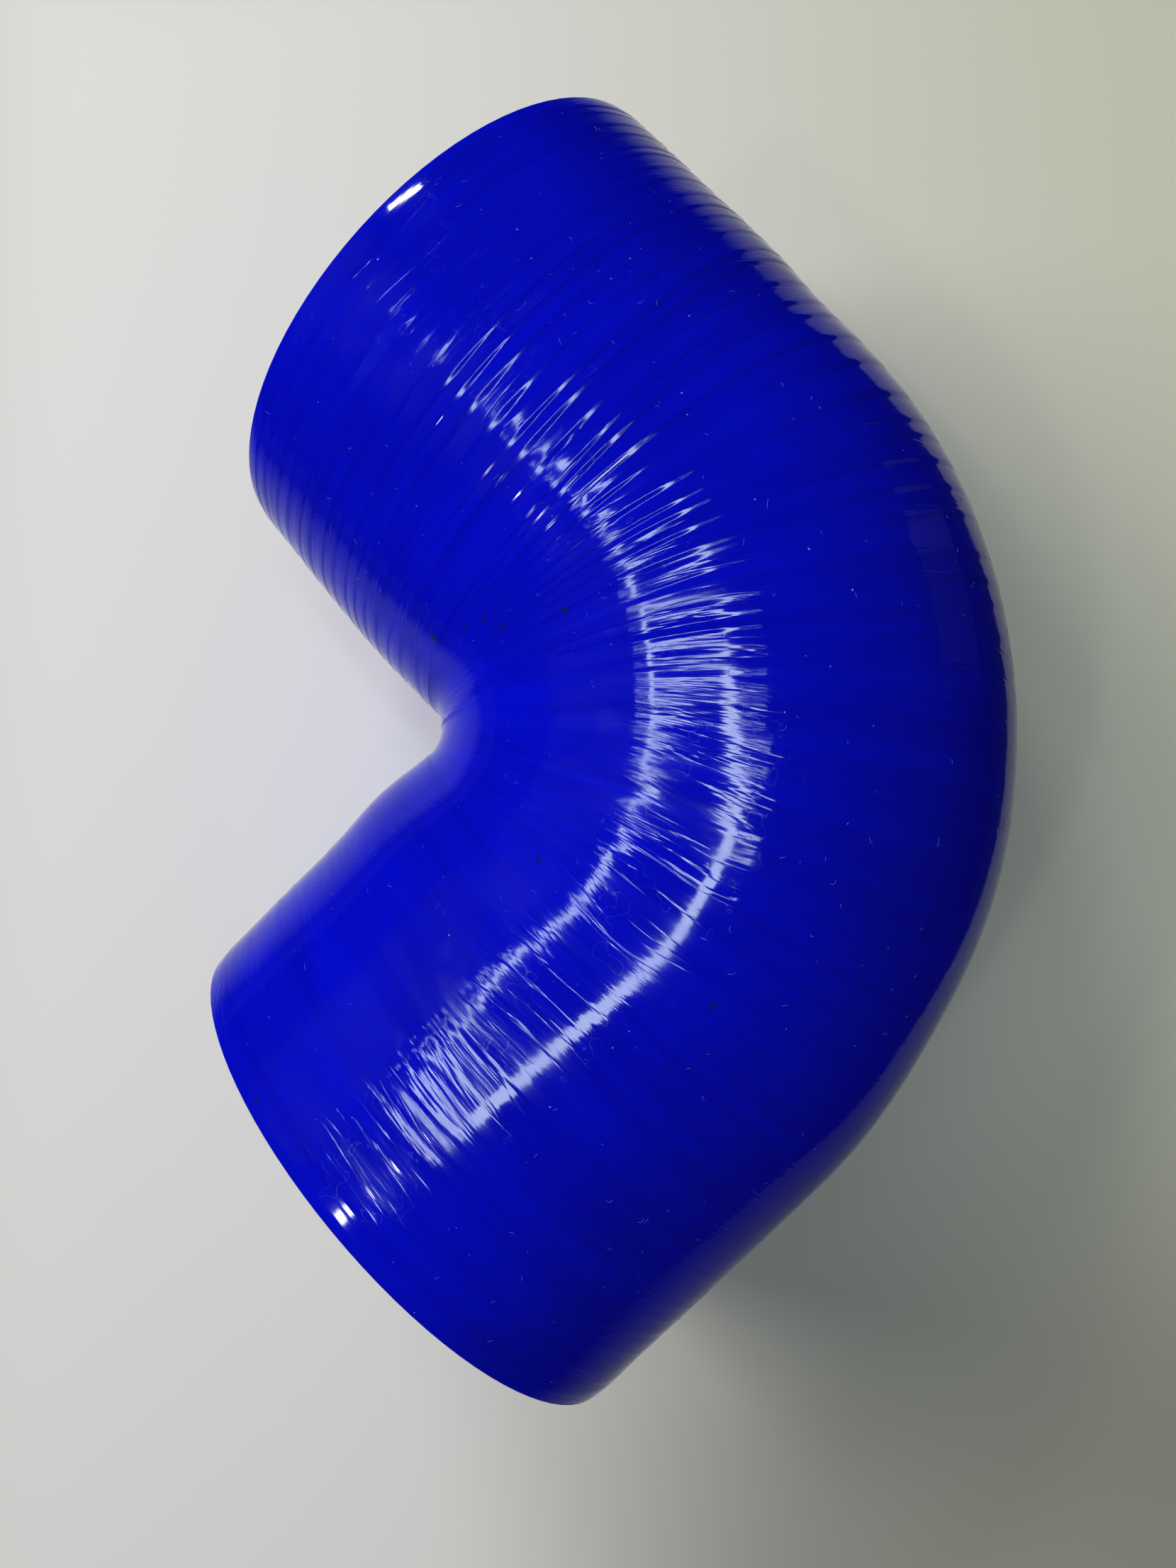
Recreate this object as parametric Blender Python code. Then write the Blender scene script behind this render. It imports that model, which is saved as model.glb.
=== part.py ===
"""Charge air hose: one moulded silicone elbow with equal ends, lying on its side.

Leg A runs along +X and leg B along +Y. The wall is turned as a straight tube, shaped
by hand-laying marks, and bent round the centreline. Lengths are in metres, +Z up, and
the origin is the middle of the footprint on the table.
"""

import math
import random

import bmesh
import bpy

# The wall
BORE = 0.102
WALL = 0.005
CORNER_RADIUS = 0.0065
STRAIGHT_A = 0.0553
STRAIGHT_B = 0.0573

# The knife cuts at both ends: end B is a little out of square
EDGE_BREAK = 0.0002
CUT_LEAN_B = math.radians(0.8)

# Marks of the curing tape: each turn swells to an edge and drops to the next turn
TAPE_PITCH = 0.0042
TAPE_STEP = 0.0003
TAPE_EDGE = 0.0009
PITCH_SPREAD = 0.3
STEP_SPREAD = 0.5

# Form left by laying the plies round the mandrel
BUNCH_A = 0.0007
BUNCH_B = 0.0012
BUNCH_FROM_BEND = 0.0125
BUNCH_LENGTH_A = 0.012
BUNCH_LENGTH_B = 0.007
SHOULDER_DIP_A = 0.0013
SHOULDER_DIP_B = 0.0011
SHOULDER_A_PAST_BEND_START = 0.001
SHOULDER_B_BEFORE_BEND_END = 0.018
SHOULDER_LENGTH = 0.008
MOUTH_PINCH_A = 0.0015
MOUTH_PINCH_B = 0.0007
MOUTH_PINCH_LENGTH = 0.012

# Facets
SIDES = 36
BORE_BEND_STEPS = 12
PATH_RESOLUTION = 64
SHARP_EDGE = math.radians(40)

BLUE = (0.0, 0.0, 0.54, 1.0)

outer_radius = BORE / 2 + WALL
wall_middle = BORE / 2 + WALL / 2
bend_radius = CORNER_RADIUS + outer_radius
arc_length = bend_radius * math.pi / 2
bend_start = STRAIGHT_A
bend_end = STRAIGHT_A + arc_length
length = bend_end + STRAIGHT_B
shortest_turn = 2 * TAPE_EDGE


def clear_scene():
    for obj in list(bpy.data.objects):
        bpy.data.objects.remove(obj, do_unlink=True)


def new_collection(name):
    collection = bpy.data.collections.new(name)
    bpy.context.scene.collection.children.link(collection)
    return collection


def tape_turns():
    """Start, end and step height of each turn of tape along the hose."""
    draw = random.Random(4)
    turns = []
    start = EDGE_BREAK
    last = length - EDGE_BREAK
    while start < last:
        pitch = TAPE_PITCH * draw.uniform(1 - PITCH_SPREAD, 1 + PITCH_SPREAD)
        step = TAPE_STEP * draw.uniform(1 - STEP_SPREAD, 1)
        end = start + max(pitch, shortest_turn)
        if end > last - shortest_turn:
            end = last
        turns.append((start, end, step))
        start = end
    return turns


def bore_stations():
    """Places along the bore where its wall needs a ring of points."""
    steps = range(BORE_BEND_STEPS + 1)
    bend = [bend_start + arc_length * step / BORE_BEND_STEPS for step in steps]
    return [EDGE_BREAK] + bend + [length - EDGE_BREAK]


def wall_profile():
    """The wall's section on one side of the axis, as (radius, distance along the hose)."""
    bore_radius = BORE / 2
    outside = []
    for start, end, step in tape_turns():
        outside.append((outer_radius, start))
        outside.append((outer_radius + step, end - TAPE_EDGE))
    outside.append((outer_radius, length - EDGE_BREAK))
    end_b = [(outer_radius - EDGE_BREAK, length), (bore_radius + EDGE_BREAK, length)]
    inside = [(bore_radius, station) for station in reversed(bore_stations())]
    end_a = [(bore_radius + EDGE_BREAK, 0.0), (outer_radius - EDGE_BREAK, 0.0)]
    return outside + end_b + inside + end_a


def turned_wall():
    """The straight tube, turned about Z from the wall's section."""
    mesh = bmesh.new()
    points = [mesh.verts.new((radius, 0.0, z)) for radius, z in wall_profile()]
    edges = [
        mesh.edges.new((points[i], points[(i + 1) % len(points)]))
        for i in range(len(points))
    ]
    bmesh.ops.spin(
        mesh,
        geom=points + edges,
        cent=(0.0, 0.0, 0.0),
        axis=(0.0, 0.0, 1.0),
        angle=2 * math.pi,
        steps=SIDES,
        use_merge=True,
    )
    bmesh.ops.recalc_face_normals(mesh, faces=mesh.faces)
    return mesh


def swell(station, centre, reach):
    """1 at the centre, falling smoothly to nothing at about three times the reach."""
    return math.exp(-0.5 * ((station - centre) / reach) ** 2)


def laying_offset(station, outward):
    """How far the outside stands off a true tube.

    outward is 1 on the bend's outer side and -1 on its inner side.
    """
    inner = max(0.0, -outward)
    outer = max(0.0, outward)
    bunch = BUNCH_A * swell(station, bend_start - BUNCH_FROM_BEND, BUNCH_LENGTH_A)
    bunch += BUNCH_B * swell(station, bend_end + BUNCH_FROM_BEND, BUNCH_LENGTH_B)
    shoulder_a = bend_start + SHOULDER_A_PAST_BEND_START
    shoulder_b = bend_end - SHOULDER_B_BEFORE_BEND_END
    dip = SHOULDER_DIP_A * swell(station, shoulder_a, SHOULDER_LENGTH)
    dip += SHOULDER_DIP_B * swell(station, shoulder_b, SHOULDER_LENGTH)
    pinch = MOUTH_PINCH_A * swell(station, 0.0, MOUTH_PINCH_LENGTH)
    pinch += MOUTH_PINCH_B * swell(station, length, MOUTH_PINCH_LENGTH)
    return bunch * inner**2 - dip * outer**2 - pinch * inner**4


def crowding(station, outward):
    """How much a stretch of wall is squeezed along its length in the bend, 1 where it is not."""
    if bend_start < station < bend_end:
        return min(1.0, 1.0 + outward * outer_radius / bend_radius)
    return 1.0


def shape_wall(mesh):
    """Moves the turned tube's points to the form that the lay-up and the cuts leave."""
    for point in mesh.verts:
        x, y, station = point.co
        radius = math.hypot(x, y)
        outward = x / radius
        if radius > wall_middle:
            tape = max(0.0, radius - outer_radius)
            target = radius - tape + tape * crowding(station, outward)
            target += laying_offset(station, outward)
            point.co.x *= target / radius
            point.co.y *= target / radius
        along_b = max(0.0, station - bend_end) / STRAIGHT_B
        point.co.z += math.tan(CUT_LEAN_B) * point.co.x * along_b


def centreline(collection):
    """The path of the bend, from end A to end B, as a guide for the Curve modifier.

    A straight stretch has handles of a third of its length, and the quarter turn has
    the handles that keep it round.
    """
    curve = bpy.data.curves.new("centreline", "CURVE")
    curve.dimensions = "3D"
    curve.twist_mode = "Z_UP"
    curve.resolution_u = PATH_RESOLUTION
    spline = curve.splines.new("BEZIER")
    spline.bezier_points.add(3)
    places = (
        (bend_radius + STRAIGHT_A, 0.0, 0.0),
        (bend_radius, 0.0, 0.0),
        (0.0, bend_radius, 0.0),
        (0.0, bend_radius + STRAIGHT_B, 0.0),
    )
    along_a = STRAIGHT_A / 3
    along_b = STRAIGHT_B / 3
    quarter = bend_radius * 4 / 3 * math.tan(math.pi / 8)
    reaches = ((along_a, along_a), (along_a, quarter), (quarter, along_b), (along_b, along_b))
    directions = ((-1.0, 0.0), (-1.0, 0.0), (0.0, 1.0), (0.0, 1.0))
    for point, place, reach, (dx, dy) in zip(spline.bezier_points, places, reaches, directions):
        before, after = reach
        point.handle_left_type = "FREE"
        point.handle_right_type = "FREE"
        point.co = place
        point.handle_left = (place[0] - dx * before, place[1] - dy * before, 0.0)
        point.handle_right = (place[0] + dx * after, place[1] + dy * after, 0.0)
    guide = bpy.data.objects.new("centreline", curve)
    guide.hide_render = True
    guide.display_type = "WIRE"
    collection.objects.link(guide)
    return guide


def silicone():
    """Glossy deep blue silicone rubber."""
    material = bpy.data.materials.new("blue_silicone")
    material.use_nodes = True
    shader = material.node_tree.nodes["Principled BSDF"]
    shader.inputs["Base Color"].default_value = BLUE
    shader.inputs["Roughness"].default_value = 0.12
    shader.inputs["Metallic"].default_value = 0.0
    material.diffuse_color = BLUE
    return material


def elbow_hose(collection, guide):
    """The hose itself, bent round the centreline."""
    mesh = turned_wall()
    shape_wall(mesh)
    data = bpy.data.meshes.new("elbow_hose")
    mesh.to_mesh(data)
    mesh.free()
    data.materials.append(silicone())
    data.shade_smooth()
    data.set_sharp_from_angle(angle=SHARP_EDGE)
    hose = bpy.data.objects.new("elbow_hose", data)
    collection.objects.link(hose)
    bend = hose.modifiers.new("bend", "CURVE")
    bend.object = guide
    bend.deform_axis = "POS_Z"
    return hose


def lay_on_table(hose, guide, collection):
    """Puts the hose on z = 0 with the middle of its footprint at the origin."""
    holder = bpy.data.objects.new("hose_frame", None)
    collection.objects.link(holder)
    hose.parent = holder
    guide.parent = holder
    bpy.context.view_layer.update()
    bent = hose.evaluated_get(bpy.context.evaluated_depsgraph_get())
    corners = [bent.matrix_world @ point.co for point in bent.data.vertices]
    lowest = [min(corner[axis] for corner in corners) for axis in range(3)]
    highest = [max(corner[axis] for corner in corners) for axis in range(3)]
    holder.location.x = -(lowest[0] + highest[0]) / 2
    holder.location.y = -(lowest[1] + highest[1]) / 2
    holder.location.z = -lowest[2]


def main():
    clear_scene()
    parts = new_collection("charge_air_hose")
    guides = new_collection("guides")
    guide = centreline(guides)
    hose = elbow_hose(parts, guide)
    lay_on_table(hose, guide, parts)


main()
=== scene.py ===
"""Looks of the charge air hose: one glossy blue silicone elbow lying on a pale table."""

import math
from collections import namedtuple

import bmesh
import bpy
import numpy as np
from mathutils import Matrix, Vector


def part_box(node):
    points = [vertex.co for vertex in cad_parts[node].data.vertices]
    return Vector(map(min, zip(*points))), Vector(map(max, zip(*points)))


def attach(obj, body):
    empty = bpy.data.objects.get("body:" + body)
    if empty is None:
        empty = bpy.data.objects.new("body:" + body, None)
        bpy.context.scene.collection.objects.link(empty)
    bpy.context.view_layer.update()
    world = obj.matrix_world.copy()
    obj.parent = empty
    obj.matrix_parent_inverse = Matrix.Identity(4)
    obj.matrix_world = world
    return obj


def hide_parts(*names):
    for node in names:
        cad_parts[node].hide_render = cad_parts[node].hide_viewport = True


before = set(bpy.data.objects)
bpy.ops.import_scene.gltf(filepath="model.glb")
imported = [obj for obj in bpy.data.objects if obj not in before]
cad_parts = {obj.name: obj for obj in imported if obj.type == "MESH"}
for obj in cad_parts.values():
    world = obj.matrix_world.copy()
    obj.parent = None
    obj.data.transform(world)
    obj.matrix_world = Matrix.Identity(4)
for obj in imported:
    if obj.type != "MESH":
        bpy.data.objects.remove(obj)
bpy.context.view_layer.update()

# The hose, in metres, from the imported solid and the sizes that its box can't give
node_low, node_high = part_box("elbow_hose")
WALL = 0.005
TAPE_STEP = 0.0003
CORNER_RADIUS = 0.0065
CUT_LEAN_B = math.radians(0.8)

across = node_high.z - node_low.z
corner = Vector((node_low.x + across / 2, node_low.y + across / 2, node_low.z + across / 2))
outer_radius = across / 2 - TAPE_STEP
bore_radius = outer_radius - WALL
wall_middle = outer_radius - WALL / 2
bend_radius = CORNER_RADIUS + outer_radius
lean_at_rim = math.tan(CUT_LEAN_B) * outer_radius
straight_a = node_high.x - corner.x - bend_radius
straight_b = node_high.y - corner.y - bend_radius - lean_at_rim
arc_length = bend_radius * math.pi / 2
bend_start = straight_a
bend_end = straight_a + arc_length
length = bend_end + straight_b

# A place on the wall is a station, in metres from end A along the straight tube, and an
# angle round it: 0 on the bend's outer side, a quarter turn on the crown and a half turn on
# the inner side.

# Fineness of the mesh: each count of cuts divides all the lengthwise edges once more
SIDES = 96
OUTSIDE_CUTS = (24, 38)
BORE_CUTS = (24,)
RING_CUTS = 3
PATH_RESOLUTION = 256
EDGE_BREAK = 0.0002
EDGE_BREAK_STEPS = 2
RIM_CORNER = math.radians(40)
SMOOTH_UNDER = math.radians(50)
AT_END = 1e-6

# The wall's materials, in their order on the mesh
GLOSSY, SATIN, CUT = range(3)

# From this share of the way from the wall's middle out, a point moves fully with the outside
RIM_SHARE = 0.9

# A face belongs to the knife cut if it starts this close to the end and stays this shallow
CUT_FACE_START = 1e-5
CUT_FACE_DEPTH = EDGE_BREAK * 0.6

# Unevenness that runs round the wall: its streaks lie a pitch apart and are a reach long
Unevenness = namedtuple(
    "Unevenness", "height pitch reach seed spread creased", defaults=(0.0, False)
)

# Marks of the curing tape: each turn rises to an edge and drops to the next turn
TAPE_PITCH = 0.0031
PITCH_SPREAD = 0.5
STEP_SPREAD = 0.6
TAPE_EDGE_SHARE = 0.2
TAPE_SEED = 4
TAPE_WANDER = Unevenness(0.0016, 0.011, 0.035, seed=11)

# What the pulled tape left between its edges, and how far that wanders along the hose
SWELLS = Unevenness(0.000060, 0.0110, 0.045, seed=21)
RIPPLES = Unevenness(0.000022, 0.0026, 0.034, seed=22, spread=0.6, creased=True)
CREASES = Unevenness(0.000016, 0.0013, 0.026, seed=23, spread=0.6, creased=True)
CREASE_WANDER = Unevenness(0.0035, 0.022, 0.045, seed=31)
PLEATS = Unevenness(0.00012, 0.0020, 0.088, seed=26, spread=0.6, creased=True)
PLEAT_WANDER = Unevenness(0.0020, 0.030, 0.120, seed=32)

# How strongly the marks show, as (station, level), on the hose's sides and on its crown
STEPS_ON_SIDE = ((0.090, 0.75), (0.106, 0.06), (0.172, 0.06), (0.190, 0.22))
STEPS_ON_CROWN = (
    (0.020, 0.05),
    (0.029, 0.60),
    (0.043, 0.70),
    (0.048, 1.00),
    (0.057, 1.00),
    (0.064, 0.60),
    (0.088, 0.50),
    (0.102, 0.03),
    (0.172, 0.02),
    (0.190, 0.22),
)
CREASES_ON_SIDE = ((0.090, 1.6), (0.104, 0.8), (0.160, 0.8), (0.190, 1.1))
CREASES_ON_CROWN = ((0.090, 0.3), (0.104, 0.8), (0.160, 0.8), (0.190, 1.1))
LINES_ON_SIDE = ((0.0, 1.0),)
LINES_ON_CROWN = ((0.088, 0.4), (0.104, 1.0))
PLEATS_ON_CROWN = (
    (0.022, 0.0),
    (0.029, 0.6),
    (0.043, 0.6),
    (0.048, 0.1),
    (0.057, 0.1),
    (0.063, 1.0),
    (0.090, 1.0),
    (0.102, 0.0),
)

# Above 1, the crown's levels reach further round toward the sides
SIDE_FALLOFF = 1.5

# Form left by laying the plies round the mandrel
BUNCH_A = 0.0007
BUNCH_B = 0.0012
BUNCH_FROM_BEND = 0.0125
BUNCH_LENGTH_A = 0.012
BUNCH_LENGTH_B = 0.007
SHOULDER_DIP_A = 0.0013
SHOULDER_DIP_B = 0.0011
SHOULDER_A_PAST_BEND_START = 0.001
SHOULDER_B_BEFORE_BEND_END = 0.018
SHOULDER_LENGTH = 0.008
MOUTH_PINCH_A = 0.0015
MOUTH_PINCH_B = 0.0007
MOUTH_PINCH_LENGTH = 0.012
RIM_ROLL_DEPTH = 0.0004
RIM_ROLL_LENGTH = 0.005
RIM_SMOOTH_LENGTH = 0.0015

# Fine folds that fan out from the tight inner corner, from FOLD_ANGLE round to the crown.
# The fan gives how far the first and the last fold lean along the hose for each radian.
FOLDS = 13
FOLD_STATION = 0.100
FOLD_ANGLE = 2.75
FOLD_FAN = (0.062, 0.004)
FOLD_SCATTER = 0.004
FOLD_HEIGHT = 0.00045
FOLD_STRENGTHS = (0.3, 1.0)
FOLD_WIDTH = 0.0008
FOLD_WIDTHS = (0.7, 1.6)
FOLD_REACH = 0.62
FOLD_LAST_ANGLE = 1.2
FOLD_FADE = 0.6
FOLD_SEED = 9

# Short fibres that lie on the gloss
LINT_COUNT = 420
LINT_LENGTHS = (0.0003, 0.0014)
LINT_THICKNESS = 0.00006
LINT_POINTS = 6
LINT_CURL = 2.6
LINT_ARCH = 0.1
LINT_FROM_RIM = 0.003
LINT_PAST_SIDE = 0.3
LINT_SEED = 7

# Dark specks in the moulding, as (station, angle, radius)
DARK_SPOTS = (
    (0.0808, 2.006, 0.0012),
    (0.0531, 2.514, 0.0016),
    (0.0621, 2.375, 0.0013),
    (0.0666, 2.284, 0.0014),
    (0.0738, 2.238, 0.0011),
    (0.1460, 1.933, 0.0009),
    (0.1458, 1.288, 0.0008),
    (0.1557, 1.270, 0.0006),
    (0.2083, 1.999, 0.0006),
)

# Colours of the finish and the table
DEEP_BLUE = (0.0, 0.0016, 0.57, 1.0)
BRIGHT_BLUE = (0.0, 0.003, 0.68, 1.0)
BORE_BLUE = (0.0, 0.003, 0.42, 1.0)
CUT_BLUE = (0.0, 0.004, 0.50, 1.0)
DUST_BLUE = (0.35, 0.40, 0.80, 1.0)
LINT_BLUE = (0.13, 0.18, 0.72, 1.0)
DARK_SPECK = (0.004, 0.010, 0.035, 1.0)
TABLE_COOL = (0.88, 0.865, 0.845, 1.0)
# Warm, and painted darker as painted shade, for the right of the table
TABLE_WARM_PAINTED_DARKER = (0.80, 0.79, 0.64, 1.0)
# Painted shadow colour for one corner of the table
TABLE_PAINTED_SHADOW = (0.05, 0.05, 0.05, 1.0)
# Painted dark grey past the table's painted pool of light
TABLE_PAINTED_FALLOFF = (0.07, 0.07, 0.07, 1.0)
WHITE = (1.0, 1.0, 1.0)

# How fine each pattern is per metre, across the straight hose both ways and along it
CLOUDS = (45, 45, 45)
SPOT_EDGE = (1500, 1500, 1500)
COLOUR_BANDS = (10, 10, 500)
RUB_MARKS = (60, 60, 220)
DULL_PATCHES = (38, 38, 38)
DRIED_DROPS = (260, 260, 260)
BORE_GRAIN = (900, 900, 900)
KNIFE_DRAG = (2600, 300, 1)
LINE_DRIFT = (22, 22, 30)
BROAD_LINES = (150, 150, 700)
FINE_LINES = (200, 200, 2600)
CREASE_LINES = (30, 30, 420)
CREASE_DEPTHS = (60, 60, 500)
DUST_CELLS = 560.0

# The span that most values of a noise lie in, and narrower ones for clearer patterns
NOISE_MIDDLE = 0.5
NOISE_SPAN = (0.3, 0.7)
CLOUD_SPAN = (0.35, 0.65)
RUB_SPAN = (0.35, 0.70)
PATCH_SPAN = (0.58, 0.70)
SPOT_SPAN = (0.7, 1.5)

# The finish: heights of the fine lines as shares of LINE_BUMP, and how strong the rest is
LINE_DRIFT_LENGTH = 0.012
BROAD_LINE_HEIGHT = 0.50
FINE_LINE_HEIGHT = 0.16
CREASE_LINE_HEIGHT = -0.45
CREASE_SHARPNESS = 22.0
CREASE_DEPTH_START = 0.45
CREASE_DEPTH_GAIN = 8.0
LINE_BUMP = 0.00005
SILICONE_IOR = 1.41
CLOUD_SHADE = 0.86
DUST_SIZE = 0.09
SPOT_RAGGEDNESS = 1.1
SPOT_STRENGTH = 0.85
RUBBED_ROUGHNESS = (0.055, 0.10)
PATCH_DULLING = 0.10
DROP_LEVEL = 0.64
DROP_EDGE_WIDTH = 0.012
DROP_DULLING = 0.10
DUST_DULLING = 0.4
DUST_OUTSIDE = 0.16
LINT_ROUGHNESS = 0.8

# The gloss is strong where the wall faces the viewer and weak where it turns away
GLOSS_TURN = (0.22, 0.60)
GLOSS_LEVELS = (0.85, 0.07)

# Camera and lamps, placed from the crossing of the two centrelines
CAMERA_FROM_CORNER = Vector((-0.00244, 0.04185, 0.24232))
CAMERA_TURN = (5.3323, 5.6894, -133.174)
FOCAL_LENGTH = 27.667
SENSOR_WIDTH = 36.0
NEAREST_SEEN = 0.01

# The lamp frame: strips from corner to corner, and spurs, as shares of the lamp's height.
# The widths are in metres.
LAMP_HEIGHT = 0.896
LAMP_CORNERS = (
    (-0.085, 0.350),
    (-0.180, 0.070),
    (-0.125, -0.100),
    (0.17, -0.120),
    (0.50, 0.235),
    (0.345, 0.360),
)
LAMP_WIDTHS = (0.075, 0.065, 0.055, 0.034, 0.030, 0.045)
LAMP_SPURS = (
    ((0.100, -0.115), (-0.060, -0.270), 0.006),
    ((-0.020, -0.115), (-0.160, -0.230), 0.010),
    ((-0.125, -0.095), (-0.300, -0.160), 0.026),
    ((0.490, 0.225), (0.590, 0.330), 0.010),
    ((0.440, 0.275), (0.520, 0.390), 0.006),
)
LAMP_RADIANCE = 9.2
LAMP_COLOUR = (0.86, 1.0, 1.06)

# Lamps for the glints at the rims, and dim panels low in the room: place, size, radiance
GLINT_LAMPS = (
    (Vector((0.60, -0.17, 0.56)), (0.16, 0.05), 28.0),
    (Vector((0.03, 0.52, 0.83)), (0.065, 0.065), 28.0),
)
ROOM_PANELS = (
    (Vector((-0.115, -0.595, -0.075)), (0.075, 0.26), 0.08),
    (Vector((-0.235, -0.560, -0.085)), (0.170, 0.26), 0.03),
)
FILL_PLACE = Vector((0.83, 0.42, 0.84))
FILL_SIZE = 0.75
FILL_RADIANCE = 4.8
FILL_COLOUR = (1.06, 1.0, 0.95)
ROOM_BRIGHTNESS = 0.03

# The table top, turned so that its x axis points to the picture's right
TABLE_LEFT = -0.62
TABLE_RIGHT = 0.142
TABLE_NEAR = -0.60
TABLE_FAR = 0.60
TABLE_THICKNESS = 0.03
TABLE_TURN = math.radians(-133)
TABLE_ROUGHNESS = 0.6
TABLE_GLOSS = 0.2

# Its tones, with light and shade painted into its colour: a painted pool of light in the middle, a
# painted shadow at the right corner, and cool at the left to warm and painted darker at the right
# Painted pool of light: full colour in the middle, fading to dark grey past it
PAINTED_POOL_HALF_SIZE = (0.150, 0.200)
PAINTED_POOL_FADE = 0.17
# Painted shadow at the right corner, and its strength
PAINTED_SHADOW_ACROSS = (-0.06, 0.05)
PAINTED_SHADOW_ALONG = (-0.165, -0.035)
PAINTED_SHADOW_STRENGTH = 0.57
# Where the table turns warm and painted darker towards the right
WARM_PAINTED_DARKER_ACROSS = (-0.10, 0.14)


def deselect_all():
    if bpy.context.object and bpy.context.object.mode == "EDIT":
        bpy.ops.object.mode_set(mode="OBJECT")
    bpy.ops.object.select_all(action="DESELECT")


def only(piece):
    """Makes this piece the one that operators act on."""
    deselect_all()
    piece.select_set(True)
    bpy.context.view_layer.objects.active = piece


def smoothstep(share):
    """Eases from 0 to 1 as the share goes from 0 to 1, and stays level outside that."""
    share = np.clip(share, 0.0, 1.0)
    return share * share * (3 - 2 * share)


def swell(station, centre, reach):
    """1 at the centre, falling smoothly to nothing at about three times the reach."""
    return np.exp(-0.5 * ((station - centre) / reach) ** 2)


def crowding(station, outward):
    """How much a stretch of wall is squeezed along its length in the bend, 1 where it is not."""
    in_bend = (station > bend_start) & (station < bend_end)
    squeezed = np.minimum(1.0, 1.0 + outward * outer_radius / bend_radius)
    return np.where(in_bend, squeezed, 1.0)


def laying_offset(station, outward):
    """How far the outside stands off a true tube, with outward 1 on the bend's outer side."""
    inner = np.maximum(0.0, -outward)
    outer = np.maximum(0.0, outward)
    bunch = BUNCH_A * swell(station, bend_start - BUNCH_FROM_BEND, BUNCH_LENGTH_A)
    bunch += BUNCH_B * swell(station, bend_end + BUNCH_FROM_BEND, BUNCH_LENGTH_B)
    dip = SHOULDER_DIP_A * swell(station, bend_start + SHOULDER_A_PAST_BEND_START, SHOULDER_LENGTH)
    dip += SHOULDER_DIP_B * swell(station, bend_end - SHOULDER_B_BEFORE_BEND_END, SHOULDER_LENGTH)
    pinch = MOUTH_PINCH_A * swell(station, 0.0, MOUTH_PINCH_LENGTH)
    pinch += MOUTH_PINCH_B * swell(station, length, MOUTH_PINCH_LENGTH)
    return bunch * inner**2 - dip * outer**2 - pinch * inner**4


def streaks(station, angle, kind):
    """One kind of unevenness, up to its height either way.

    A creased kind has straight flanks between creases, and its spread varies their pitch.
    """
    draw = np.random.default_rng(kind.seed)
    rows = int(length / kind.pitch) + 4
    columns = max(3, round(2 * math.pi * outer_radius / kind.reach))
    shares = draw.uniform(1 - kind.spread, 1 + kind.spread, rows)
    edges = np.cumsum(kind.pitch * shares) - kind.pitch
    edges *= max(1.0, (length + kind.pitch) / edges[-1])
    grid = draw.uniform(-1, 1, (rows, columns))
    before_last_row = rows - 1.001
    u = np.clip(np.interp(station, edges, np.arange(rows)), 0, before_last_row)
    v = (angle / (2 * math.pi)) % 1.0 * columns
    row = np.floor(u).astype(int)
    column = np.floor(v).astype(int) % columns
    after = (column + 1) % columns
    down = u - row if kind.creased else smoothstep(u - row)
    onward = smoothstep(v - np.floor(v))
    upper = grid[row, column] * (1 - onward) + grid[row, after] * onward
    lower = grid[row + 1, column] * (1 - onward) + grid[row + 1, after] * onward
    return kind.height * (upper * (1 - down) + lower * down)


def tape_steps(station, angle):
    """Height of the curing tape's overlapping turns, wound as one helix, from 0 to TAPE_STEP."""
    draw = np.random.default_rng(TAPE_SEED)
    edges = [-3 * TAPE_PITCH]
    while edges[-1] < length + 2 * TAPE_PITCH:
        edges.append(edges[-1] + TAPE_PITCH * draw.uniform(1 - PITCH_SPREAD, 1 + PITCH_SPREAD))
    heights = TAPE_STEP * (1 - STEP_SPREAD * draw.uniform(0, 1, len(edges)) ** 0.5)
    wandered = station + streaks(station, angle, TAPE_WANDER)
    winding = (angle / (2 * math.pi)) % 1.0
    turns = np.interp(wandered, edges, np.arange(len(edges))) - winding
    turn = np.floor(turns)
    share = turns - turn
    height = np.interp(turn + winding, np.arange(len(edges)), heights)
    rise = np.minimum(share / (1 - TAPE_EDGE_SHARE), 1.0)
    drop = np.clip((1 - share) / TAPE_EDGE_SHARE, 0.0, 1.0)
    return height * rise * drop


def level_along(station, levels):
    return np.interp(station, *zip(*levels))


def level_at(station, to_side, side_levels, crown_levels):
    """A level along the hose, blended from the crown's to the side's."""
    on_crown = level_along(station, crown_levels)
    return on_crown + (level_along(station, side_levels) - on_crown) * to_side


def wall_relief(station, angle):
    """All that the tape and the hands left on the outside, before the bend crowds it."""
    to_side = np.abs(np.cos(angle)) ** SIDE_FALLOFF
    steps = level_at(station, to_side, STEPS_ON_SIDE, STEPS_ON_CROWN)
    creases = level_at(station, to_side, CREASES_ON_SIDE, CREASES_ON_CROWN)
    pleats = level_along(station, PLEATS_ON_CROWN) * (1 - to_side)
    wandered = station + streaks(station, angle, CREASE_WANDER)
    relief = steps * tape_steps(station, angle)
    relief += streaks(wandered, angle, SWELLS)
    relief += streaks(wandered, angle, RIPPLES)
    relief += creases * streaks(wandered, angle, CREASES)
    wandered = station + streaks(station, angle, PLEAT_WANDER)
    return relief + pleats * streaks(wandered, angle, PLEATS)


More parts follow.
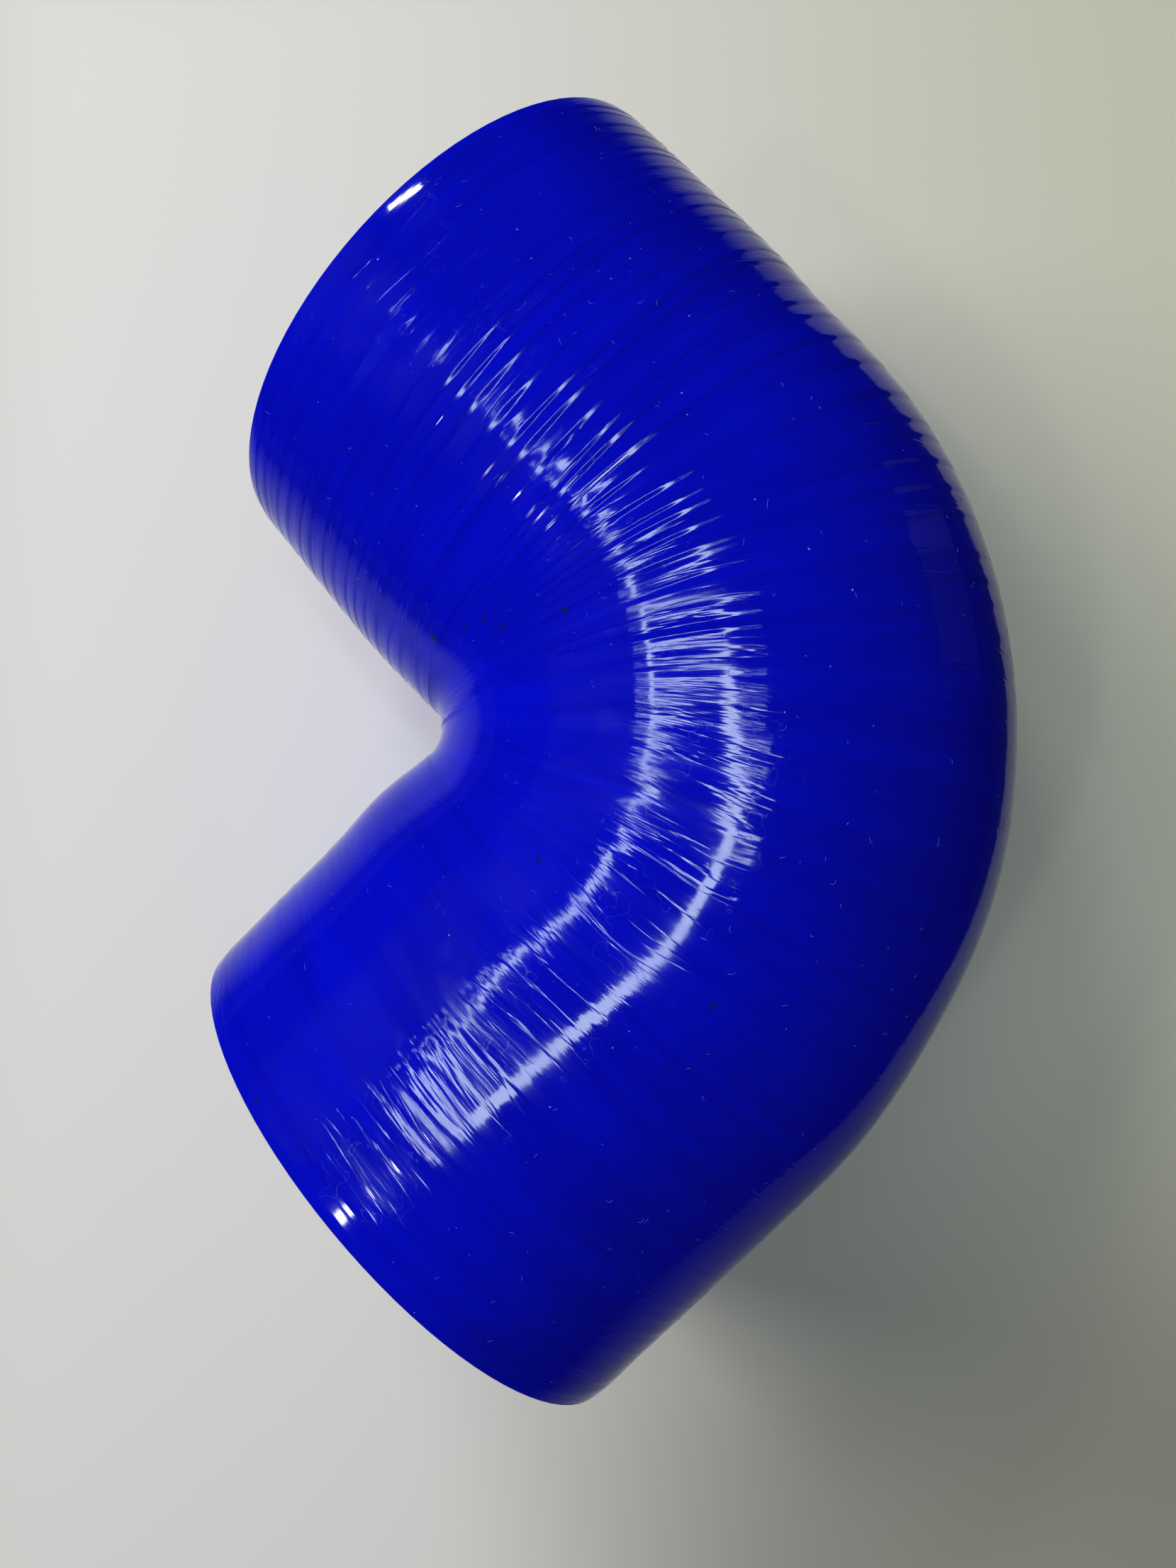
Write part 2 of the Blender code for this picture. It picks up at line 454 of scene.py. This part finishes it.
def corner_folds(station, angle):
    """Thin raised folds that start at the tight inner corner and run out over the top."""
    draw = np.random.default_rng(FOLD_SEED)
    away = np.maximum(FOLD_ANGLE - angle, 0.0)
    fading = 1 - smoothstep(away / FOLD_REACH)
    fading = fading * smoothstep((angle - FOLD_LAST_ANGLE) / FOLD_FADE)
    folds = np.zeros_like(station)
    for fan in np.linspace(*FOLD_FAN, FOLDS):
        lean = fan + draw.uniform(-FOLD_SCATTER, FOLD_SCATTER)
        ridge = FOLD_STATION + draw.uniform(-FOLD_SCATTER, FOLD_SCATTER) - lean * away
        width = FOLD_WIDTH * draw.uniform(*FOLD_WIDTHS)
        folds += draw.uniform(*FOLD_STRENGTHS) * swell(station, ridge, width)
    return FOLD_HEIGHT * folds * fading


def outside_radius(station, angle):
    """Distance of the outside from the axis, with everything that shapes it."""
    outward = np.cos(angle)
    from_cut = np.minimum(station, length - station)
    rolled = RIM_ROLL_DEPTH * np.clip(1 - from_cut / RIM_ROLL_LENGTH, 0.0, 1.0) ** 2
    marks = wall_relief(station, angle) + corner_folds(station, angle)
    marks = marks * crowding(station, outward) * smoothstep(from_cut / RIM_SMOOTH_LENGTH)
    return outer_radius + marks + laying_offset(station, outward) - rolled


def edit_edges(piece, wanted):
    """Enters edit mode with just the wanted edges selected."""
    bpy.ops.object.mode_set(mode="EDIT")
    bpy.ops.mesh.select_all(action="DESELECT")
    bpy.ops.mesh.select_mode(type="EDGE")
    mesh = bmesh.from_edit_mesh(piece.data)
    for edge in mesh.edges:
        edge.select_set(wanted(edge))
    bmesh.update_edit_mesh(piece.data)


def runs_lengthwise(edge):
    start, end = edge.verts
    return abs(start.co.z - end.co.z) > AT_END


def lies_at(edge, *ends):
    """Whether each point of the edge is level with one of the hose's ends."""
    return all(min(abs(point.co.z - end) for end in ends) < AT_END for point in edge.verts)


def is_rim(edge):
    turned = len(edge.link_faces) == 2 and edge.calc_face_angle(0.0) > RIM_CORNER
    return turned and lies_at(edge, 0.0, length)


def round_tube(name, radius, cuts):
    """An open tube along Z with its rings made by subdividing the lengthwise edges."""
    deselect_all()
    bpy.ops.mesh.primitive_cylinder_add(
        vertices=SIDES,
        radius=radius,
        depth=length,
        end_fill_type="NOTHING",
        location=(0, 0, length / 2),
    )
    tube = bpy.context.object
    tube.name = name
    bpy.ops.object.transform_apply(location=True, rotation=True, scale=True)
    for count in cuts:
        edit_edges(tube, runs_lengthwise)
        bpy.ops.mesh.subdivide(number_cuts=count)
        bpy.ops.object.mode_set(mode="OBJECT")
    return tube


def closed_wall():
    """The outside and the bore, joined by flat rings at both cut ends."""
    outside = round_tube("elbow_hose_skin", outer_radius, OUTSIDE_CUTS)
    bore = round_tube("bore", bore_radius, BORE_CUTS)
    only(bore)
    bpy.ops.object.mode_set(mode="EDIT")
    bpy.ops.mesh.select_all(action="SELECT")
    bpy.ops.mesh.flip_normals()
    only(outside)
    bore.select_set(True)
    bpy.ops.object.join()
    for end in (0.0, length):
        edit_edges(outside, lambda edge: lies_at(edge, end))
        bpy.ops.mesh.bridge_edge_loops(number_cuts=RING_CUTS, interpolation="LINEAR")
        bpy.ops.object.mode_set(mode="OBJECT")
    edit_edges(outside, is_rim)
    bpy.ops.mesh.bevel(offset=EDGE_BREAK, segments=EDGE_BREAK_STEPS, affect="EDGES")
    bpy.ops.mesh.select_all(action="SELECT")
    bpy.ops.mesh.normals_make_consistent(inside=False)
    bpy.ops.object.mode_set(mode="OBJECT")
    return outside


def point_places(mesh):
    """The mesh's points as rows of x, y and z."""
    places = np.empty(len(mesh.vertices) * 3)
    mesh.vertices.foreach_get("co", places)
    return places.reshape(-1, 3)


def move_points(mesh, places):
    mesh.vertices.foreach_set("co", places.ravel())
    mesh.update()


def shape_wall(hose):
    """Moves the wall's points to the form that the tape, the lay-up and the cuts leave.

    Keeps each point's place on the straight tube, and how deep the fine lines are there,
    for the materials.
    """
    mesh = hose.data
    places = point_places(mesh)
    station = places[:, 2].copy()
    angle = np.arctan2(places[:, 1], places[:, 0])
    radius = np.hypot(places[:, 0], places[:, 1])
    outward = np.cos(angle)
    keep_attribute(mesh, "wall_place", "FLOAT_VECTOR", "vector", places)
    lines = level_at(station, np.abs(outward), LINES_ON_SIDE, LINES_ON_CROWN)
    keep_attribute(mesh, "line_depth", "FLOAT", "value", lines * crowding(station, outward))
    outside = np.clip((radius - wall_middle) / (outer_radius - wall_middle), 0.0, 1.0)
    outside = np.where(outside > RIM_SHARE, 1.0, outside)
    target = radius + outside * (outside_radius(station, angle) - outer_radius)
    along_b = np.maximum(0.0, station - bend_end) / straight_b
    places[:, 0] *= target / radius
    places[:, 1] *= target / radius
    places[:, 2] += math.tan(CUT_LEAN_B) * places[:, 0] * along_b
    move_points(mesh, places)


def keep_attribute(mesh, name, kind, field, values):
    attribute = mesh.attributes.new(name, kind, "POINT")
    attribute.data.foreach_set(field, np.asarray(values, np.float32).ravel())


def centreline():
    """The path of the bend, from end A to end B."""
    curve = bpy.data.curves.new("centreline", "CURVE")
    curve.dimensions = "3D"
    curve.twist_mode = "Z_UP"
    curve.resolution_u = PATH_RESOLUTION
    spline = curve.splines.new("BEZIER")
    spline.bezier_points.add(3)
    places = (
        (bend_radius + straight_a, 0.0),
        (bend_radius, 0.0),
        (0.0, bend_radius),
        (0.0, bend_radius + straight_b),
    )
    along_a = straight_a / 3
    along_b = straight_b / 3
    quarter = bend_radius * 4 / 3 * math.tan(math.pi / 8)
    reaches = ((along_a, along_a), (along_a, quarter), (quarter, along_b), (along_b, along_b))
    directions = ((-1.0, 0.0), (-1.0, 0.0), (0.0, 1.0), (0.0, 1.0))
    for point, (x, y), (before, after), (dx, dy) in zip(
        spline.bezier_points, places, reaches, directions
    ):
        point.handle_left_type = "FREE"
        point.handle_right_type = "FREE"
        point.co = (x, y, 0.0)
        point.handle_left = (x - dx * before, y - dy * before, 0.0)
        point.handle_right = (x + dx * after, y + dy * after, 0.0)
    guide = bpy.data.objects.new("centreline", curve)
    bpy.context.scene.collection.objects.link(guide)
    return guide


def bend_round_path(piece):
    """Bends a piece that is modelled along Z round the centreline and puts it on the table."""
    guide = centreline()
    bend = piece.modifiers.new("bend", "CURVE")
    bend.object = guide
    bend.deform_axis = "POS_Z"
    only(piece)
    bpy.ops.object.modifier_apply(modifier="bend")
    bpy.data.objects.remove(guide, do_unlink=True)
    piece.location = corner
    bpy.ops.object.transform_apply(location=True, rotation=True, scale=True)


def fit_inside_box(piece):
    """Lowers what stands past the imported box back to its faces."""
    places = point_places(piece.data)
    move_points(piece.data, np.clip(places, np.array(node_low), np.array(node_high)))


# Materials


def wire(tree, source, target):
    tree.links.new(source, target)


def add_node(tree, kind, **settings):
    made = tree.nodes.new(kind)
    for name, value in settings.items():
        setattr(made, name, value)
    return made


def math_node(tree, operation, first, second=None, clamp=False):
    """A Math node whose inputs are sockets or plain numbers."""
    made = add_node(tree, "ShaderNodeMath", operation=operation, use_clamp=clamp)
    for socket, value in zip(made.inputs, (first, second)):
        if isinstance(value, bpy.types.NodeSocket):
            wire(tree, value, socket)
        elif value is not None:
            socket.default_value = value
    return made.outputs[0]


def plus(tree, first, second):
    return math_node(tree, "ADD", first, second)


def minus(tree, first, second):
    return math_node(tree, "SUBTRACT", first, second)


def times(tree, first, second, clamp=False):
    return math_node(tree, "MULTIPLY", first, second, clamp)


def distance_from(tree, value, level):
    return math_node(tree, "ABSOLUTE", minus(tree, value, level))


def scaled_noise(tree, vector, fineness, detail=2.0, roughness=0.5):
    mapping = add_node(tree, "ShaderNodeMapping")
    mapping.inputs["Scale"].default_value = fineness
    wire(tree, vector, mapping.inputs["Vector"])
    noise = add_node(tree, "ShaderNodeTexNoise")
    noise.inputs["Scale"].default_value = 1.0
    noise.inputs["Detail"].default_value = detail
    noise.inputs["Roughness"].default_value = roughness
    wire(tree, mapping.outputs["Vector"], noise.inputs["Vector"])
    return noise.outputs["Fac"]


def new_material(name):
    material = bpy.data.materials.new(name)
    material.use_nodes = True
    return material, material.node_tree, material.node_tree.nodes["Principled BSDF"]


def new_group(name, inputs, outputs):
    """An empty node group with the named sockets, and its input and output nodes."""
    group = bpy.data.node_groups.new(name, "ShaderNodeTree")
    for label, kind in inputs:
        group.interface.new_socket(name=label, in_out="INPUT", socket_type=kind)
    for label, kind in outputs:
        group.interface.new_socket(name=label, in_out="OUTPUT", socket_type=kind)
    return group, add_node(group, "NodeGroupInput"), add_node(group, "NodeGroupOutput")


def use_group(tree, name, **values):
    """Places a group in a tree, with its inputs wired or set."""
    made = add_node(tree, "ShaderNodeGroup", node_tree=bpy.data.node_groups[name])
    for label, value in values.items():
        if isinstance(value, bpy.types.NodeSocket):
            wire(tree, value, made.inputs[label])
        else:
            made.inputs[label].default_value = value
    return made


def blend_colours(tree, amount, first, second):
    """Mix of two colours, each a socket or a plain colour."""
    made = add_node(tree, "ShaderNodeMix", data_type="RGBA")
    wire(tree, amount, made.inputs["Factor"])
    for name, value in (("A", first), ("B", second)):
        sockets = [socket for socket in made.inputs if socket.name == name]
        target = [socket for socket in sockets if socket.type == "RGBA"][0]
        if isinstance(value, bpy.types.NodeSocket):
            wire(tree, value, target)
        else:
            target.default_value = value
    return [socket for socket in made.outputs if socket.type == "RGBA"][0]


def remap(tree, value, low, high, to_low=0.0, to_high=1.0):
    """The value eased from one range to another, and level outside it."""
    made = add_node(tree, "ShaderNodeMapRange", interpolation_type="SMOOTHSTEP")
    made.inputs["From Min"].default_value = low
    made.inputs["From Max"].default_value = high
    made.inputs["To Min"].default_value = to_low
    made.inputs["To Max"].default_value = to_high
    wire(tree, value, made.inputs["Value"])
    return made.outputs["Result"]


def dusty_silicone_group():
    """Blue that is a little uneven, with specks of dust on it."""
    group, given, out = new_group(
        "dusty_silicone",
        (("Place", "NodeSocketVector"), ("Blue", "NodeSocketColor"), ("Dust", "NodeSocketFloat")),
        (("Color", "NodeSocketColor"), ("Speck", "NodeSocketFloat")),
    )
    place, blue, amount = (given.outputs[name] for name in ("Place", "Blue", "Dust"))
    cloud = remap(group, scaled_noise(group, place, CLOUDS, detail=4.0), *CLOUD_SPAN)
    darker = add_node(group, "ShaderNodeVectorMath", operation="SCALE")
    wire(group, blue, darker.inputs[0])
    darker.inputs["Scale"].default_value = CLOUD_SHADE
    tone = blend_colours(group, cloud, darker.outputs["Vector"], blue)
    cells = add_node(group, "ShaderNodeTexVoronoi")
    cells.inputs["Scale"].default_value = DUST_CELLS
    wire(group, place, cells.inputs["Vector"])
    pick = add_node(group, "ShaderNodeSeparateColor")
    wire(group, cells.outputs["Color"], pick.inputs["Color"])
    present = math_node(group, "GREATER_THAN", amount, pick.outputs["Red"])
    size = times(group, pick.outputs["Green"], DUST_SIZE)
    speck = math_node(group, "LESS_THAN", cells.outputs["Distance"], size)
    speck = times(group, speck, present)
    pale = blend_colours(group, pick.outputs["Blue"], blue, DUST_BLUE)
    wire(group, blend_colours(group, speck, tone, pale), out.inputs["Color"])
    wire(group, speck, out.inputs["Speck"])


def dark_spot_group():
    """A speck with an uneven edge, 1 in its middle."""
    group, given, out = new_group(
        "dark_spot",
        (("Place", "NodeSocketVector"), ("Middle", "NodeSocketVector"), ("Radius", "NodeSocketFloat")),
        (("Mask", "NodeSocketFloat"),),
    )
    away = add_node(group, "ShaderNodeVectorMath", operation="DISTANCE")
    wire(group, given.outputs["Place"], away.inputs[0])
    wire(group, given.outputs["Middle"], away.inputs[1])
    uneven = scaled_noise(group, given.outputs["Place"], SPOT_EDGE, detail=3.0)
    share = math_node(group, "DIVIDE", away.outputs["Value"], given.outputs["Radius"])
    share = plus(group, share, times(group, uneven, SPOT_RAGGEDNESS))
    wire(group, remap(group, share, *SPOT_SPAN, 1.0, 0.0), out.inputs["Mask"])


def drifting_place(tree, place):
    """The place on the straight hose, shifted along it so that lines wander."""
    drift = minus(tree, scaled_noise(tree, place, LINE_DRIFT, detail=1.0), NOISE_MIDDLE)
    shift = add_node(tree, "ShaderNodeCombineXYZ")
    wire(tree, times(tree, drift, LINE_DRIFT_LENGTH), shift.inputs["Z"])
    moved = add_node(tree, "ShaderNodeVectorMath", operation="ADD")
    wire(tree, place, moved.inputs[0])
    wire(tree, shift.outputs["Vector"], moved.inputs[1])
    return moved.outputs["Vector"]


def wound_height(tree, place, line_depth):
    """Fine lines that the tape's weave left round the wall, as a height from 0 to about 1."""
    along = drifting_place(tree, place)
    broad = scaled_noise(tree, along, BROAD_LINES, detail=1.0)
    fine = scaled_noise(tree, along, FINE_LINES, detail=1.0)
    away = distance_from(tree, scaled_noise(tree, along, CREASE_LINES), NOISE_MIDDLE)
    crease = minus(tree, 1.0, times(tree, away, CREASE_SHARPNESS, clamp=True))
    depth = scaled_noise(tree, along, CREASE_DEPTHS, detail=1.0)
    depth = times(tree, minus(tree, depth, CREASE_DEPTH_START), CREASE_DEPTH_GAIN, clamp=True)
    crease = times(tree, crease, depth)
    height = times(tree, broad, BROAD_LINE_HEIGHT)
    height = plus(tree, height, times(tree, fine, FINE_LINE_HEIGHT))
    height = plus(tree, height, times(tree, crease, CREASE_LINE_HEIGHT))
    return times(tree, height, line_depth)


def bumped(tree, shader, height, distance):
    bump = add_node(tree, "ShaderNodeBump")
    bump.inputs["Strength"].default_value = 1.0
    bump.inputs["Distance"].default_value = distance
    wire(tree, height, bump.inputs["Height"])
    wire(tree, bump.outputs["Normal"], shader.inputs["Normal"])


def wall_place(tree):
    return add_node(tree, "ShaderNodeAttribute", attribute_name="wall_place").outputs["Vector"]


def dark_spots(tree, place):
    """How much of the dark specks covers each place."""
    dark = None
    for station, angle, radius in DARK_SPOTS:
        middle = (outer_radius * math.cos(angle), outer_radius * math.sin(angle), station)
        spot = use_group(tree, "dark_spot", Place=place, Middle=middle, Radius=radius)
        mask = spot.outputs["Mask"]
        dark = mask if dark is None else math_node(tree, "MAXIMUM", dark, mask)
    return times(tree, dark, SPOT_STRENGTH)


def gloss_roughness(tree, place, speck):
    """Rubbed gloss with dulled patches, the edges of dried drops, and dust."""
    rub = scaled_noise(tree, place, RUB_MARKS, detail=3.0)
    rough = remap(tree, rub, *RUB_SPAN, *RUBBED_ROUGHNESS)
    patch = scaled_noise(tree, place, DULL_PATCHES, detail=5.0, roughness=0.65)
    patch = remap(tree, patch, *PATCH_SPAN)
    edge = distance_from(tree, scaled_noise(tree, place, DRIED_DROPS, detail=1.0), DROP_LEVEL)
    edge = remap(tree, edge, 0.0, DROP_EDGE_WIDTH, 1.0, 0.0)
    marks = ((patch, PATCH_DULLING), (edge, DROP_DULLING), (speck, DUST_DULLING))
    for mark, dulling in marks:
        rough = plus(tree, rough, times(tree, mark, dulling))
    return rough


def glossy_outside():
    """Gloss blue with wound lines, dulled patches, dried drops, dust and dark specks."""
    material, tree, shader = new_material("glossy_blue_silicone")
    shader.inputs["IOR"].default_value = SILICONE_IOR
    facing = add_node(tree, "ShaderNodeLayerWeight").outputs["Facing"]
    gloss = remap(tree, facing, *GLOSS_TURN, *GLOSS_LEVELS)
    wire(tree, gloss, shader.inputs["Specular IOR Level"])
    place = wall_place(tree)
    depth = add_node(tree, "ShaderNodeAttribute", attribute_name="line_depth").outputs["Fac"]
    bumped(tree, shader, wound_height(tree, place, depth), LINE_BUMP)

    bands = scaled_noise(tree, place, COLOUR_BANDS, detail=4.0, roughness=0.7)
    blue = blend_colours(tree, remap(tree, bands, *NOISE_SPAN), DEEP_BLUE, BRIGHT_BLUE)
    dusty = use_group(tree, "dusty_silicone", Place=place, Blue=blue, Dust=DUST_OUTSIDE)
    colour = blend_colours(tree, dark_spots(tree, place), dusty.outputs["Color"], DARK_SPECK)
    wire(tree, colour, shader.inputs["Base Color"])
    rough = gloss_roughness(tree, place, dusty.outputs["Speck"])
    wire(tree, rough, shader.inputs["Roughness"])
    return material


def plain_silicone(name, blue, dust, pattern, detail, roughness, bump):
    """Silicone of one blue, whose roughness and bump follow one pattern."""
    material, tree, shader = new_material(name)
    shader.inputs["IOR"].default_value = SILICONE_IOR
    place = wall_place(tree)
    dusty = use_group(tree, "dusty_silicone", Place=place, Blue=blue, Dust=dust)
    wire(tree, dusty.outputs["Color"], shader.inputs["Base Color"])
    grain = scaled_noise(tree, place, pattern, detail)
    wire(tree, remap(tree, grain, *NOISE_SPAN, *roughness), shader.inputs["Roughness"])
    bumped(tree, shader, grain, bump)
    return material


def satin_bore():
    """The smooth satin that the mandrel leaves, with a faint grain."""
    return plain_silicone(
        "satin_blue_bore",
        BORE_BLUE,
        dust=0.10,
        pattern=BORE_GRAIN,
        detail=3.0,
        roughness=(0.30, 0.42),
        bump=0.00003,
    )


def cut_silicone():
    """Matt knife cut with fine drag marks across the wall."""
    return plain_silicone(
        "cut_blue_silicone",
        CUT_BLUE,
        dust=0.05,
        pattern=KNIFE_DRAG,
        detail=2.0,
        roughness=(0.42, 0.60),
        bump=0.00004,
    )


def lint_fibre():
    material, _, shader = new_material("pale_lint")
    shader.inputs["Base Color"].default_value = LINT_BLUE
    shader.inputs["Roughness"].default_value = LINT_ROUGHNESS
    return material


def assign_finishes(wall):
    """Gloss outside, satin in the bore and a matt knife cut at both ends."""
    mesh = wall.data
    finishes = {GLOSSY: glossy_outside(), SATIN: satin_bore(), CUT: cut_silicone()}
    for index in sorted(finishes):
        mesh.materials.append(finishes[index])
    places = np.empty(len(mesh.vertices) * 3, np.float32)
    mesh.attributes["wall_place"].data.foreach_get("vector", places)
    places = places.reshape(-1, 3)
    radius = np.hypot(places[:, 0], places[:, 1])
    from_cut = np.minimum(places[:, 2], length - places[:, 2])
    for polygon in mesh.polygons:
        points = list(polygon.vertices)
        if max(from_cut[points]) < CUT_FACE_DEPTH and min(from_cut[points]) < CUT_FACE_START:
            polygon.material_index = CUT
        elif radius[points].mean() < wall_middle:
            polygon.material_index = SATIN


def curled_fibre(strand, draw, station, angle, height):
    """Lays one fibre of a random length, heading and curl on the straight tube."""
    heading = draw.uniform(0, 2 * math.pi)
    curl = draw.uniform(-LINT_CURL, LINT_CURL)
    shortest, longest = LINT_LENGTHS
    size = shortest + (longest - shortest) * draw.uniform(0, 1) ** 2
    steps = LINT_POINTS - 1
    strand.points.add(steps)
    for number, point in enumerate(strand.points):
        radius = height + math.sin(math.pi * number / steps) * LINT_ARCH * size
        point.co = (radius * math.cos(angle), radius * math.sin(angle), station, 1.0)
        station += size / steps * math.cos(heading)
        angle += size / steps * math.sin(heading) / outer_radius
        heading += curl / steps


def lint():
    """Short curled fibres on the outside, laid on the straight tube and bent with it."""
    draw = np.random.default_rng(LINT_SEED)
    strands = bpy.data.curves.new("lint", "CURVE")
    strands.dimensions = "3D"
    strands.bevel_depth = LINT_THICKNESS / 2
    strands.bevel_resolution = 0
    strands.use_fill_caps = True
    stations = draw.uniform(LINT_FROM_RIM, length - LINT_FROM_RIM, LINT_COUNT)
    angles = draw.uniform(-LINT_PAST_SIDE, math.pi + LINT_PAST_SIDE, LINT_COUNT)
    heights = outside_radius(stations, angles) + LINT_THICKNESS / 2
    for station, angle, height in zip(stations, angles, heights):
        curled_fibre(strands.splines.new("POLY"), draw, station, angle, height)
    fibres = bpy.data.objects.new("lint", strands)
    bpy.context.scene.collection.objects.link(fibres)
    only(fibres)
    bpy.ops.object.convert(target="MESH")
    fibres = bpy.context.object
    bend_round_path(fibres)
    fit_inside_box(fibres)
    fibres.data.materials.clear()
    fibres.data.materials.append(lint_fibre())
    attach(fibres, "root")


def hose():
    """The whole wall, shaped straight, bent and finished."""
    wall = closed_wall()
    shape_wall(wall)
    bend_round_path(wall)
    fit_inside_box(wall)
    assign_finishes(wall)
    only(wall)
    bpy.ops.object.shade_smooth_by_angle(angle=SMOOTH_UNDER)
    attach(wall, "root")
    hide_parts("elbow_hose")


# The stage


def pale_table():
    """Matt and pale, with light painted into its colour: a painted pool of light that goes greyer past
    the middle, a painted shadow at one corner, and warmer and painted darker to the right.
    """
    material, tree, shader = new_material("pale_table")
    shader.inputs["Roughness"].default_value = TABLE_ROUGHNESS
    shader.inputs["Specular IOR Level"].default_value = TABLE_GLOSS
    split = add_node(tree, "ShaderNodeSeparateXYZ")
    wire(tree, add_node(tree, "ShaderNodeTexCoord").outputs["Object"], split.inputs["Vector"])
    x, y = split.outputs["X"], split.outputs["Y"]
    # Painted pool of light: the colour goes dark grey past the middle
    past_x, past_y = (
        minus(tree, math_node(tree, "ABSOLUTE", axis), half)
        for axis, half in zip((x, y), PAINTED_POOL_HALF_SIZE)
    )
    past_painted_pool = remap(tree, math_node(tree, "MAXIMUM", past_x, past_y), 0.0, PAINTED_POOL_FADE)
    # Painted shadow at one corner
    shade = times(tree, remap(tree, x, *PAINTED_SHADOW_ACROSS), remap(tree, y, *PAINTED_SHADOW_ALONG, 1.0, 0.0))
    # Warm and painted darker towards the right
    colour = blend_colours(tree, remap(tree, x, *WARM_PAINTED_DARKER_ACROSS), TABLE_COOL, TABLE_WARM_PAINTED_DARKER)
    colour = blend_colours(tree, times(tree, shade, PAINTED_SHADOW_STRENGTH), colour, TABLE_PAINTED_SHADOW)
    colour = blend_colours(tree, past_painted_pool, colour, TABLE_PAINTED_FALLOFF)
    wire(tree, colour, shader.inputs["Base Color"])
    return material


def table_top():
    deselect_all()
    middle = ((TABLE_LEFT + TABLE_RIGHT) / 2, (TABLE_NEAR + TABLE_FAR) / 2, -TABLE_THICKNESS / 2)
    bpy.ops.mesh.primitive_cube_add(size=1.0, location=middle)
    floor = bpy.context.object
    floor.name = "table_top"
    floor.scale = (TABLE_RIGHT - TABLE_LEFT, TABLE_FAR - TABLE_NEAR, TABLE_THICKNESS)
    bpy.ops.object.transform_apply(location=True, rotation=True, scale=True)
    floor.rotation_euler = (0, 0, TABLE_TURN)
    floor.data.materials.append(pale_table())


def area_lamp(name, place, size, radiance, colour):
    """A flat lamp of the given radiance, looking down until it is turned."""
    light = bpy.data.lights.new(name, "AREA")
    light.shape = "RECTANGLE"
    light.size, light.size_y = size
    light.energy = radiance * math.pi * size[0] * size[1]
    light.color = colour
    lamp = bpy.data.objects.new(name, light)
    lamp.location = place
    bpy.context.scene.collection.objects.link(lamp)
    return lamp


def aim_at(lamp, place):
    """Turns a lamp to face the middle of the hose, from its place round it."""
    lamp.rotation_euler = (-place).to_track_quat("-Z", "Y").to_euler()


def lamp_strip(name, start, end, width):
    """A strip between two places over the corner, as shares of the lamp's height."""
    run = LAMP_HEIGHT * (Vector((*end, 0.0)) - Vector((*start, 0.0)))
    middle = corner + LAMP_HEIGHT * Vector((*start, 1.0)) + run / 2
    strip = area_lamp(name, middle, (run.length, width), LAMP_RADIANCE, LAMP_COLOUR)
    strip.rotation_euler = (0, 0, math.atan2(run.y, run.x))


def lamps():
    """Strips that form a frame above the hose, glint lamps, dim panels and a soft fill."""
    for number, (start, width) in enumerate(zip(LAMP_CORNERS, LAMP_WIDTHS)):
        end = LAMP_CORNERS[(number + 1) % len(LAMP_CORNERS)]
        lamp_strip("strip_%d" % (number + 1), start, end, width)
    for number, (start, end, width) in enumerate(LAMP_SPURS):
        lamp_strip("spur_%d" % (number + 1), start, end, width)
    for kind, members in (("spot", GLINT_LAMPS), ("panel", ROOM_PANELS)):
        for number, (place, size, radiance) in enumerate(members):
            name = "%s_%d" % (kind, number + 1)
            aim_at(area_lamp(name, corner + place, size, radiance, WHITE), place)
    fill = area_lamp("fill", FILL_PLACE, (FILL_SIZE, FILL_SIZE), FILL_RADIANCE, FILL_COLOUR)
    aim_at(fill, FILL_PLACE)
    fill.visible_glossy = False
    fill.visible_camera = False


def surroundings():
    world = bpy.data.worlds.new("dim_room")
    world.use_nodes = True
    background = world.node_tree.nodes["Background"]
    background.inputs["Color"].default_value = (*WHITE, 1.0)
    background.inputs["Strength"].default_value = ROOM_BRIGHTNESS
    bpy.context.scene.world = world


def camera():
    data = bpy.data.cameras.new("camera")
    data.lens = FOCAL_LENGTH
    data.sensor_width = SENSOR_WIDTH
    data.clip_start = NEAREST_SEEN
    view = bpy.data.objects.new("camera", data)
    view.location = corner + CAMERA_FROM_CORNER
    view.rotation_euler = [math.radians(turn) for turn in CAMERA_TURN]
    bpy.context.scene.collection.objects.link(view)
    bpy.context.scene.camera = view


bpy.context.scene.view_settings.view_transform = "Standard"
dusty_silicone_group()
dark_spot_group()
hose()
lint()
table_top()
lamps()
surroundings()
camera()
